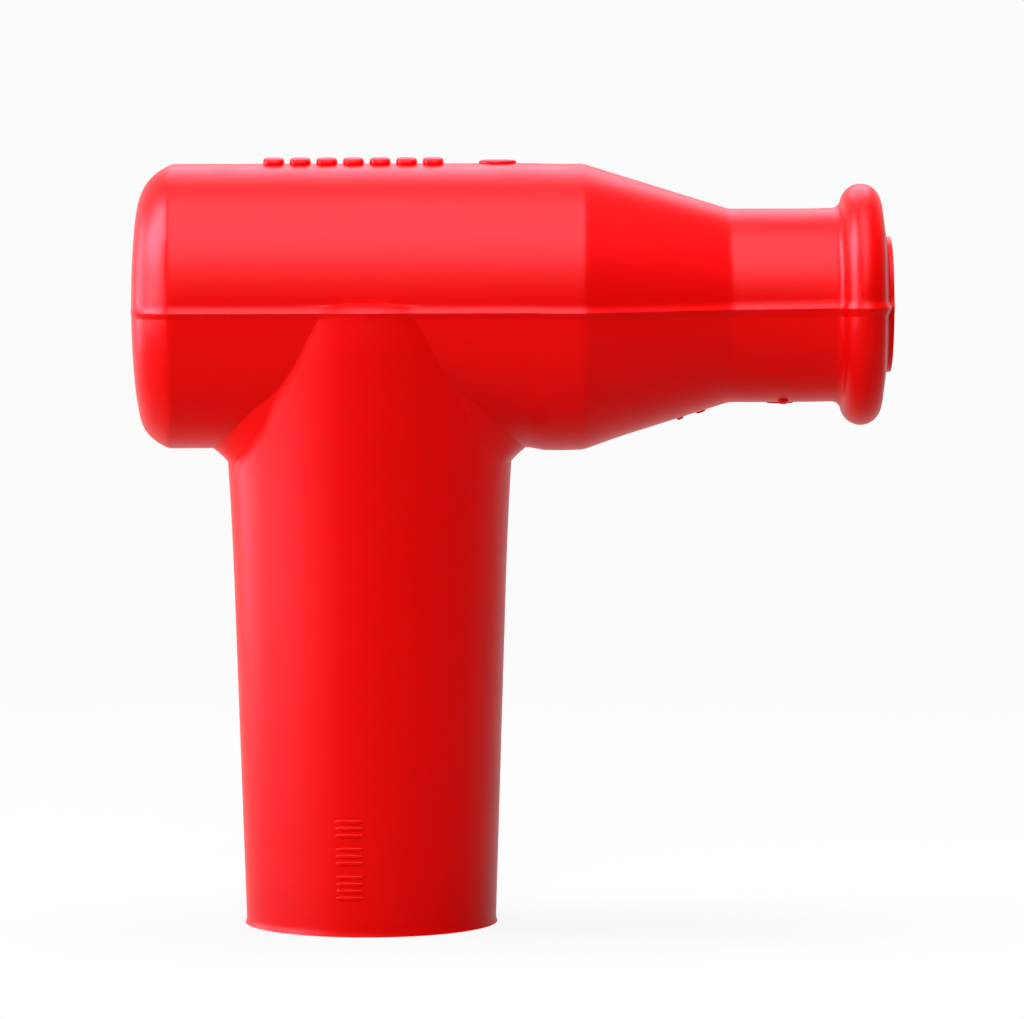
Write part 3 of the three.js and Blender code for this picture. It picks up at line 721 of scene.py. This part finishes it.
# %% Phenolic and ceramic
phenolic = Finish("phenolic", Specular_IOR_Level=0.5)
spot = phenolic.place()
speck = phenolic.node("ShaderNodeTexVoronoi", {}, {"Vector": spot, "Scale": 1 / (0.55 * MM)}, "Distance")
fleck = 1 - phenolic.ramp(speck, 0.1, 0.2)
peel = phenolic.noise(spot, 0.9, detail=3.0)
phenolic.paint(
    Base_Color=phenolic.blend(fleck * 0.5, (0.022, 0.017, 0.014, 1), (0.11, 0.08, 0.055, 1)),
    Roughness=0.34 + 0.22 * peel)
phenolic.relief(peel, 0.02, 0.5)

ceramic = Finish("ceramic", Specular_IOR_Level=0.4)
spot = ceramic.place()
pore = ceramic.noise(spot, 0.3, detail=4.0, roughness=0.65)
stain = ceramic.noise(spot, 3.0, detail=2.0)
ceramic.paint(
    Base_Color=ceramic.blend(stain, (0.66, 0.6, 0.5, 1), (0.78, 0.74, 0.66, 1)),
    Roughness=0.55 + 0.2 * pore)
ceramic.relief(pore, 0.03, 0.6)

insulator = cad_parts["insulator"]
insulator.data.materials.clear()
insulator.data.materials.append(phenolic.material)

# %% [markdown]
# ## Turned and drawn pieces
# Two shapes make nearly all the metal: a profile turned round an axis, and a round wire along a
# path. A profile is a list of (radius, height) corners, and each corner is eased with a short
# quadratic curve, as a lathe's or a press's real edge is.

# %% Turned profile
def eased(corners, ease, steps=4):
    """A profile whose inner corners are quadratic curves, each starting ease before its corner,
    but never more than 0.45 of the way to the next one."""
    corners = np.array(corners, float)
    here = corners[1:-1]
    to_before, to_after = corners[:-2] - here, corners[2:] - here
    start = here + to_before * np.minimum(0.45, ease / np.linalg.norm(to_before, axis=1))[:, None]
    stop = here + to_after * np.minimum(0.45, ease / np.linalg.norm(to_after, axis=1))[:, None]
    curves = [rounded(a, b, c, steps) for a, b, c in zip(start, here, stop)]
    return np.concatenate([corners[:1], *curves, corners[-1:]])


def turned(profile, sides=72):
    """Rows of (radius, height) turned round the leg's axis: x = r cos a, y = r sin a."""
    angle = full_circle(sides)[None]
    return xyz(profile[:, :1] * np.cos(angle), profile[:, :1] * np.sin(angle), profile[:, 1:])


def drawn(path, radius, sides=14, cap=5):
    """A round wire: rings r (cos a, sin a) across the path's tangent, and at each end a half
    ball of rings."""
    tangent = unit(np.gradient(path, axis=0))
    ease = np.linspace(math.pi / 2, 0, cap, endpoint=False)[:, None]
    inset = radius * (np.sin(ease) - 1)  # how far each cap's ring lies from where the body starts
    steps = np.linalg.norm(np.diff(path, axis=0, prepend=path[:1]), axis=1)
    body = path[np.cumsum(steps) > radius]
    body = body[np.linalg.norm(body - path[-1], axis=1) > radius]
    middle = np.concatenate([path[0] - tangent[0] * inset, body, (path[-1] + tangent[-1] * inset)[::-1]])
    width = radius * np.concatenate([np.cos(ease), np.ones((len(body), 1)), np.cos(ease)[::-1]])
    way = unit(np.gradient(middle, axis=0))
    across = unit(np.cross(way, [0.0, 0.0, 1.0]))
    over = np.cross(across, way)
    angle = full_circle(sides)[None, :, None]
    ring = np.cos(angle) * across[:, None] + np.sin(angle) * over[:, None]
    return middle[:, None] + width[:, None] * ring


def add_piece(name, points, finish, node):
    """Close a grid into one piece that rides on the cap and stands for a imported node."""
    skin = Skin()
    skin.grid(points, wrap=True)
    piece = skin.build(name, finish)
    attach(piece, "root")
    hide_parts(node)
    return piece


# %% [markdown]
# ## Plug terminal
# The brass ferrule screws into the insulator and takes the plug's nut. Two saw cuts let the clip's
# legs into its bore, and a slot across its foot takes a screwdriver. It is a turned profile, and
# the cuts are taken out with boxes, because a saw cut is flat and a grid of turned rows isn't.

# %% Plug terminal
TERMINAL_FOOT, TERMINAL_TOP = 22.25, 34.25
profile = eased([
    (0, TERMINAL_TOP), (3.6, TERMINAL_TOP), (3.6, 29.25), (4.0, 29.25), (4.0, TERMINAL_FOOT),
    (3.45, TERMINAL_FOOT), (3.25, 22.6), (3.25, 31.75), (0, 31.75)], 0.16)
skin = Skin()
skin.grid(turned(profile[::-1], sides=96), wrap=True)
plug_terminal = skin.build("brass_terminal", terminal_brass)


def cutter(low, high):
    """A closed box from its two corners, as six quads."""
    sides = zip(low, high)
    corner = np.stack(np.meshgrid(*sides, indexing="ij"), axis=-1).reshape(-1, 3)
    faces = [(0, 1, 3, 2), (4, 6, 7, 5), (0, 4, 5, 1), (2, 3, 7, 6), (0, 2, 6, 4), (1, 5, 7, 3)]
    mesh = bpy.data.meshes.new("saw")
    mesh.from_pydata((corner * MM).tolist(), [], faces)
    tool = bpy.data.objects.new("saw", mesh)
    bpy.context.scene.collection.objects.link(tool)
    return tool


clip_height = TERMINAL_FOOT + 3.5
saws = [cutter((-0.6, -5, 21), (0.6, 5, TERMINAL_FOOT + 1.3)),
        cutter((-5, 2.6, clip_height - 0.5), (5, 5, clip_height + 0.5)),
        cutter((-5, -5, clip_height - 0.5), (5, -2.6, clip_height + 0.5))]
for saw in saws:
    cut = plug_terminal.modifiers.new("cut", "BOOLEAN")
    cut.operation, cut.object, cut.solver = "DIFFERENCE", saw, "EXACT"
bpy.context.view_layer.update()
finished = plug_terminal.evaluated_get(bpy.context.evaluated_depsgraph_get())
cut_mesh = bpy.data.meshes.new_from_object(finished)
plug_terminal.modifiers.clear()
plug_terminal.data = cut_mesh
for saw in saws:
    bpy.data.objects.remove(saw)
print("terminal after its cuts:", len(cut_mesh.polygons), "faces")
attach(plug_terminal, "root")
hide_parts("plug_terminal")

# %% [markdown]
# ## Terminal clip and contact spring
# Both are bent from round wire. The clip is a hairpin: two legs through the saw cuts, joined by a
# bow round the outside. The spring is a helix whose two end turns lie nearly flat, as springs
# are wound so that they stand square.

# %% Clip and spring
CLIP_LEG, BOW = 3.1, 4.5  # how far each leg lies from the middle, and the bow's radius
bow_end = math.asin(CLIP_LEG / BOW)
angle = np.linspace(bow_end, -bow_end, 60)
straight = np.linspace(-3.2, BOW * math.cos(bow_end), 30)[:-1]
path = np.concatenate([
    xyz(straight, CLIP_LEG, clip_height), xyz(BOW * np.cos(angle), BOW * np.sin(angle), clip_height),
    xyz(straight[::-1], -CLIP_LEG, clip_height)])
bell = np.exp(-0.5 * (np.arange(-6, 7) / 2.5) ** 2)  # averaging over neighbours rounds the bends
padded = np.pad(path[:, :2], ((6, 6), (0, 0)), mode="edge")
path[:, :2] = np.stack([np.convolve(column, bell / bell.sum(), "valid") for column in padded.T], 1)
add_piece("wire_clip", drawn(path, 0.39), spring_wire, "terminal_clip")

SPRING_LOW, SPRING_HIGH, SPRING_RADIUS = 45.64, 48.46, 1.7
share = np.linspace(0, 1, 260)
climb = share - 0.045 * np.sin(2 * math.pi * share)  # slow at both ends, where the turns lie flat
helix = xyz(SPRING_RADIUS * np.cos(7 * math.pi * share), SPRING_RADIUS * np.sin(7 * math.pi * share),
            SPRING_LOW + (SPRING_HIGH - SPRING_LOW) * climb)
add_piece("coil_spring", drawn(helix, 0.255), spring_wire, "contact_spring")

# %% [markdown]
# ## Resistor
# A suppressor resistor is a ceramic rod with a pressed metal cup forced over each end. All three
# are turned profiles, and the cups keep the soft edge that pressing leaves.

# %% Resistor
ROD_FOOT, ROD_TOP = 34.76, 44.84
rod = eased([(0, ROD_TOP), (2.3, ROD_TOP), (2.3, ROD_FOOT), (0, ROD_FOOT)], 0.22)
add_piece("ceramic_rod", turned(rod[::-1]), ceramic.material, "resistor_rod")
for name, closed, mouth in (("resistor_cup_lower", 34.35, 36.55), ("resistor_cup_upper", 45.25, 43.05)):
    inward = np.sign(mouth - closed)
    cup = eased([
        (0, closed), (2.6, closed), (2.6, mouth), (2.36, mouth), (2.36, closed + 0.35 * inward),
        (0, closed + 0.35 * inward)], 0.13)
    piece_name = "lower_cup" if inward > 0 else "upper_cup"
    add_piece(piece_name, turned(cup), plated_cup, name)

# %% [markdown]
# ## Cable screw
# One brass turning carries the spark from the lead to the spring: a flat tongue, a shank, a
# knurled anchor, a flange and a woodscrew spike. One grid runs from end to end. Its sections are
# superellipses, which go from the tongue's rectangle to circles, and the knurl and the thread are
# added to the radius: the thread is one wave per pitch whose phase turns with the angle.

# %% Cable screw
stops = np.array([  # place along X, half height, half width, roundness: 0.15 a rectangle, 1 a circle
    [-2.4, 0.0, 0.0, 0.15], [-2.4, 0.5, 1.7, 0.15], [-2.3, 0.6, 1.8, 0.15], [2.05, 0.6, 1.8, 0.15],
    [2.2, 1.52, 1.8, 0.8], [2.28, 1.6, 1.6, 1.0], [6.2, 1.6, 1.6, 1.0], [6.21, 2.15, 2.15, 1.0],
    [6.45, 2.4, 2.4, 1.0], [11.55, 2.4, 2.4, 1.0], [11.79, 2.15, 2.15, 1.0], [11.8, 1.6, 1.6, 1.0],
    [14.08, 1.6, 1.6, 1.0], [14.1, 2.85, 2.85, 1.0], [14.25, 3.0, 3.0, 1.0], [15.25, 3.0, 3.0, 1.0],
    [15.4, 2.85, 2.85, 1.0], [15.41, 1.35, 1.35, 1.0]])
steps = np.maximum(3, np.abs(np.diff(stops[:, 0])) / 0.07).astype(int)
fine = np.concatenate([k + np.arange(count) / count for k, count in enumerate(steps)] + [[len(steps)]])
body = np.stack([np.interp(fine, np.arange(len(stops)), stops[:, k]) for k in range(4)], 1)
body = body[np.r_[True, np.abs(np.diff(body[:, :3], axis=0)).sum(1) > 1e-6]]
SPIKE_END, CORE, PITCH = 28.9, 1.2, 1.8
spike_x = np.linspace(15.5, SPIKE_END, 240)
spike = np.stack([spike_x, np.full(240, CORE), np.full(240, CORE), np.ones(240)], 1)
rows = np.concatenate([body, spike])
angle = full_circle(72)[None]
x, round_by = rows[:, :1], rows[:, 3:]

# %% Knurl, thread and taper
knurled = smooth_step((x - 6.5) / 0.2) * smooth_step((11.5 - x) / 0.2)
weave = np.cos(12 * angle + 5.0 * x) * np.cos(12 * angle - 5.0 * x)  # diamonds of two helices
phase = (x - 15.4) / PITCH - angle / (2 * math.pi)
ridge_wave = np.abs(2 * (phase - np.floor(phase)) - 1) ** 1.6  # 1 on the thread's crest
threaded = smooth_step((x - 15.5) / 0.5)
taper = np.clip((28.95 - x) / 2.6, 0.04, 1.0)
gain = (1 - 0.035 * knurled * (1 - weave)) * (1 + threaded * (taper * (1 + 0.48 * ridge_wave) - 1))
height = rows[:, 1:2] * signed_power(np.cos(angle), round_by) * gain
width = rows[:, 2:3] * signed_power(np.sin(angle), round_by) * gain
screw = xyz(x, width, AXIS + height)
tip = np.repeat(xyz(SPIKE_END, 0.0, AXIS)[None, None], angle.size, axis=1)
add_piece("brass_screw", np.concatenate([screw, tip]), screw_brass, "cable_screw")

# %% [markdown]
# ## Studio
# The light is a plain product set on a white table. Four large soft lamps shape the form: one
# overhead, one low on the left and two in front. Cards of light round them show in the skin's
# gloss only and lay the pale veils along the crown, the left edges and the bead. The floor and
# the surroundings are white to the camera, to glossy and to transmitted rays, less so in the
# gloss where they lie behind the camera, and dim to the rest, so that the lamps model the form.

# %% Surroundings
WHITE = (0.965, 0.965, 0.965, 1.0)


def white_to_sight(tree, white, plain):
    """Mix two shaders so that camera, glossy and transmission rays meet the white one."""
    camera_ray, glossy_ray, clear_ray = (
        tree.node("ShaderNodeLightPath", {}, {}, f"Is {kind} Ray")
        for kind in ("Camera", "Glossy", "Transmission"))
    seen = camera_ray.maximum(glossy_ray).maximum(clear_ray)
    return tree.node("ShaderNodeMixShader", {}, {0: seen, 1: plain, 2: white})


world = bpy.data.worlds.new("surroundings")
bpy.context.scene.world = world
world.use_nodes = True
sky = Tree(world.node_tree)
direction = sky.node("ShaderNodeTexCoord", {}, {}, "Generated")
depth = sky.node("ShaderNodeSeparateXYZ", {}, {0: direction}, "Y")
behind = sky.node("ShaderNodeMapRange", {"interpolation_type": "SMOOTHSTEP"}, {
    "Value": depth, "From Min": -0.7, "From Max": 0.3, "To Min": 0.1, "To Max": 1.0})
camera_ray = sky.node("ShaderNodeLightPath", {}, {}, "Is Camera Ray")
sight_light = sky.node("ShaderNodeBackground", {}, {
    "Color": WHITE, "Strength": camera_ray.maximum(behind)})
fill_light = sky.node("ShaderNodeBackground", {}, {"Color": (1.0, 0.98, 1.0, 1.0), "Strength": 0.11})
sky.feed(sky.tree.nodes["World Output"].inputs["Surface"], white_to_sight(sky, sight_light, fill_light))

# %% Floor
FLOOR_RADIUS = 320.0
edge = full_circle(96)
floor_points = xyz(FLOOR_RADIUS * np.cos(edge), FLOOR_RADIUS * np.sin(edge), 0.0)
floor_mesh = bpy.data.meshes.new("floor")
floor_mesh.from_pydata((floor_points * MM).tolist(), [], [tuple(range(len(edge)))])
floor = bpy.data.objects.new("floor", floor_mesh)
bpy.context.scene.collection.objects.link(floor)
paper = Finish("floor_paper", Base_Color=(0.35, 0.35, 0.35, 1.0), Roughness=0.9, Specular_IOR_Level=0.0)
distance = paper.node("ShaderNodeVectorMath", {"operation": "LENGTH"}, {0: paper.place()}, "Value")
away = paper.node("ShaderNodeMapRange", {}, {
    "Value": distance, "From Min": 0.06, "From Max": 0.25, "To Min": 0.93, "To Max": 1.0})
glow = paper.node("ShaderNodeEmission", {}, {"Color": WHITE})
bright = paper.node("ShaderNodeBsdfDiffuse", {}, {"Color": (0.9, 0.9, 0.9, 1.0)})
shaded = paper.node("ShaderNodeMixShader", {}, {0: away, 1: bright, 2: glow})
dim = Wire(paper, paper.shader.outputs[0])
paper.feed(paper.tree.nodes["Material Output"].inputs["Surface"], white_to_sight(paper, shaded, dim))
floor_mesh.materials.append(paper.material)

# %% Lamps
SUBJECT = np.array([8.0, 0.0, 40.0])
CARD_COLOUR = (1.0, 0.89, 1.22)  # the veils are cooler than the light that shapes the form


def lamp(name, place, size, power, colour=(1, 1, 1)):
    """A square soft lamp at place, turned to face the cap, in millimetres and watts."""
    light = bpy.data.lights.new(name, "AREA")
    light.shape, light.size = "SQUARE", size * MM
    light.energy, light.color = power, colour
    holder = bpy.data.objects.new(name, light)
    bpy.context.scene.collection.objects.link(holder)
    direction = SUBJECT - np.array(place, float)
    holder.location = np.array(place) * MM
    turn = math.atan2(direction[1], direction[0])
    pitch = math.atan2(math.hypot(direction[0], direction[1]), -direction[2])
    holder.rotation_euler = (pitch, 0.0, turn - math.radians(90))
    return holder


shaping = (  # name, place, size in millimetres, watts: soft lamps that shape the form
    ("overhead", (0, 60, 650), 320, 5.5),
    ("left", (-600, -120, 60), 300, 3.33),
    ("front", (-40, -560, 380), 300, 2.1),
    ("front_top", (0, -380, 520), 300, 0.57),
)
shine = (  # cards that show in the skin's gloss only
    ("crown_card", (0, -150, 660), 420, 6.8),
    ("back_card", (0, 480, 480), 420, 2.4),
    ("front_card", (0, -380, 520), 300, 4.0),
    ("left_card", (-500, -20, 460), 400, 18.0),
    ("left_high_card", (-580, -200, 230), 340, 5.4),
    ("left_low_card", (-600, -120, 60), 300, 2.7),
    ("left_front_card", (-470, -390, 60), 260, 1.5),
    ("left_back_card", (-600, 260, 100), 420, 7.0),
)
for name, place, size, power in shaping:
    lamp(name, place, size, power).visible_glossy = False
for name, place, size, power in shine:
    lamp(name, place, size, power, CARD_COLOUR).visible_diffuse = False
print("lamps:", len(shaping), "to shape,", len(shine), "to shine")
